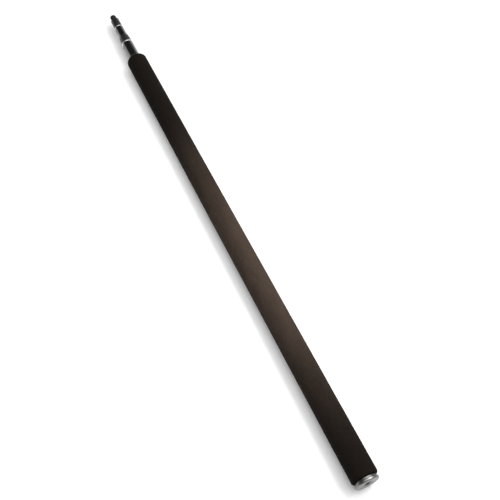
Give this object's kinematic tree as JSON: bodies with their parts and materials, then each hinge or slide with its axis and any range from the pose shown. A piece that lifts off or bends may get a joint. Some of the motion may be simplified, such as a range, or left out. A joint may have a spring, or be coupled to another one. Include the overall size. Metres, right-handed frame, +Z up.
{
  "type": "boom pole",
  "caption": "Telescopic boom pole: long foam grip, twist-locking black tubes, silver end cap with a threaded socket, and a threaded stud at the tip for a microphone mount.",
  "frame": {"origin": "on the surface the pole lies on, under the middle of the pushed-in pole", "axes": "+Y along the pole from the end cap to the tip, +Z up, +X across"},
  "size_m": [0.0312, 0.84, 0.0312],
  "materials": {
    "foam": "matte",
    "black_tube": "gloss",
    "black_plastic": "satin",
    "black_collar": "satin",
    "bright_ring": "polished",
    "silver_aluminium": "satin",
    "inner_aluminium": "satin",
    "black_steel": "satin",
    "steel": "satin",
    "brass": "satin",
    "nylon": "satin",
    "felt": "matte",
    "seal_rubber": "satin"
  },
  "bodies": {
    "grip": {"foam_grip": "foam", "base_tube": "black_tube", "base_guide_bush": "black_plastic", "base_felt_ring": "felt", "base_end_insert": "inner_aluminium"},
    "cap_seal": {"end_cap_seal": "seal_rubber"},
    "cap": {"end_cap": "silver_aluminium"},
    "middle_lock": {"middle_lock_sleeve": "nylon"},
    "middle_cone": {"middle_lock_cone": "brass"},
    "middle": {"middle_tube": "black_tube", "middle_trim_ring": "bright_ring", "middle_collar": "black_collar", "middle_felt_ring": "felt", "middle_guide_sleeve": "nylon", "middle_lock_plug": "inner_aluminium", "middle_lock_pin": "steel", "middle_lock_clip": "steel"},
    "tip_lock": {"tip_lock_sleeve": "nylon"},
    "tip_cone": {"tip_lock_cone": "brass"},
    "tip": {"tip_tube": "black_tube", "tip_trim_ring": "bright_ring", "tip_hub": "black_collar", "tip_stud": "black_steel", "tip_guide_sleeve": "nylon", "tip_lock_plug": "inner_aluminium", "tip_lock_pin": "steel", "tip_lock_clip": "steel"}
  },
  "joints": [
    {"name": "cap_travel", "type": "slide", "parent": "grip", "child": "cap_seal", "axis": [0, -1, 0], "range_m": [0, 0.009]},
    {"name": "cap_turn", "type": "hinge", "parent": "cap_seal", "child": "cap", "pos_m": [0, 0, 0.0156], "axis": [0, -1, 0], "range_deg": [0, 2160]},
    {"name": "middle_slide", "type": "slide", "parent": "grip", "child": "middle_lock", "axis": [0, 1, 0], "range_m": [0, 0.58]},
    {"name": "middle_twist", "type": "hinge", "parent": "middle_lock", "child": "middle", "pos_m": [0, 0, 0.0156], "axis": [0, 1, 0], "range_deg": [0, 180]},
    {"name": "middle_cone_travel", "type": "slide", "parent": "middle_lock", "child": "middle_cone", "axis": [0, -1, 0], "range_m": [0, 0.000625]},
    {"name": "tip_slide", "type": "slide", "parent": "middle", "child": "tip_lock", "axis": [0, 1, 0], "range_m": [0, 0.58]},
    {"name": "tip_twist", "type": "hinge", "parent": "tip_lock", "child": "tip", "pos_m": [0, 0, 0.0156], "axis": [0, 1, 0], "range_deg": [0, 180]},
    {"name": "tip_cone_travel", "type": "slide", "parent": "tip_lock", "child": "tip_cone", "axis": [0, -1, 0], "range_m": [0, 0.0005]}
  ],
  "couplings": [
    {"joint": "cap_travel", "follows": "cap_turn", "m_per_rad": 0.00023873},
    {"joint": "middle_cone_travel", "follows": "middle_twist", "m_per_rad": 0.00019894},
    {"joint": "tip_cone_travel", "follows": "tip_twist", "m_per_rad": 0.00015915}
  ]
}
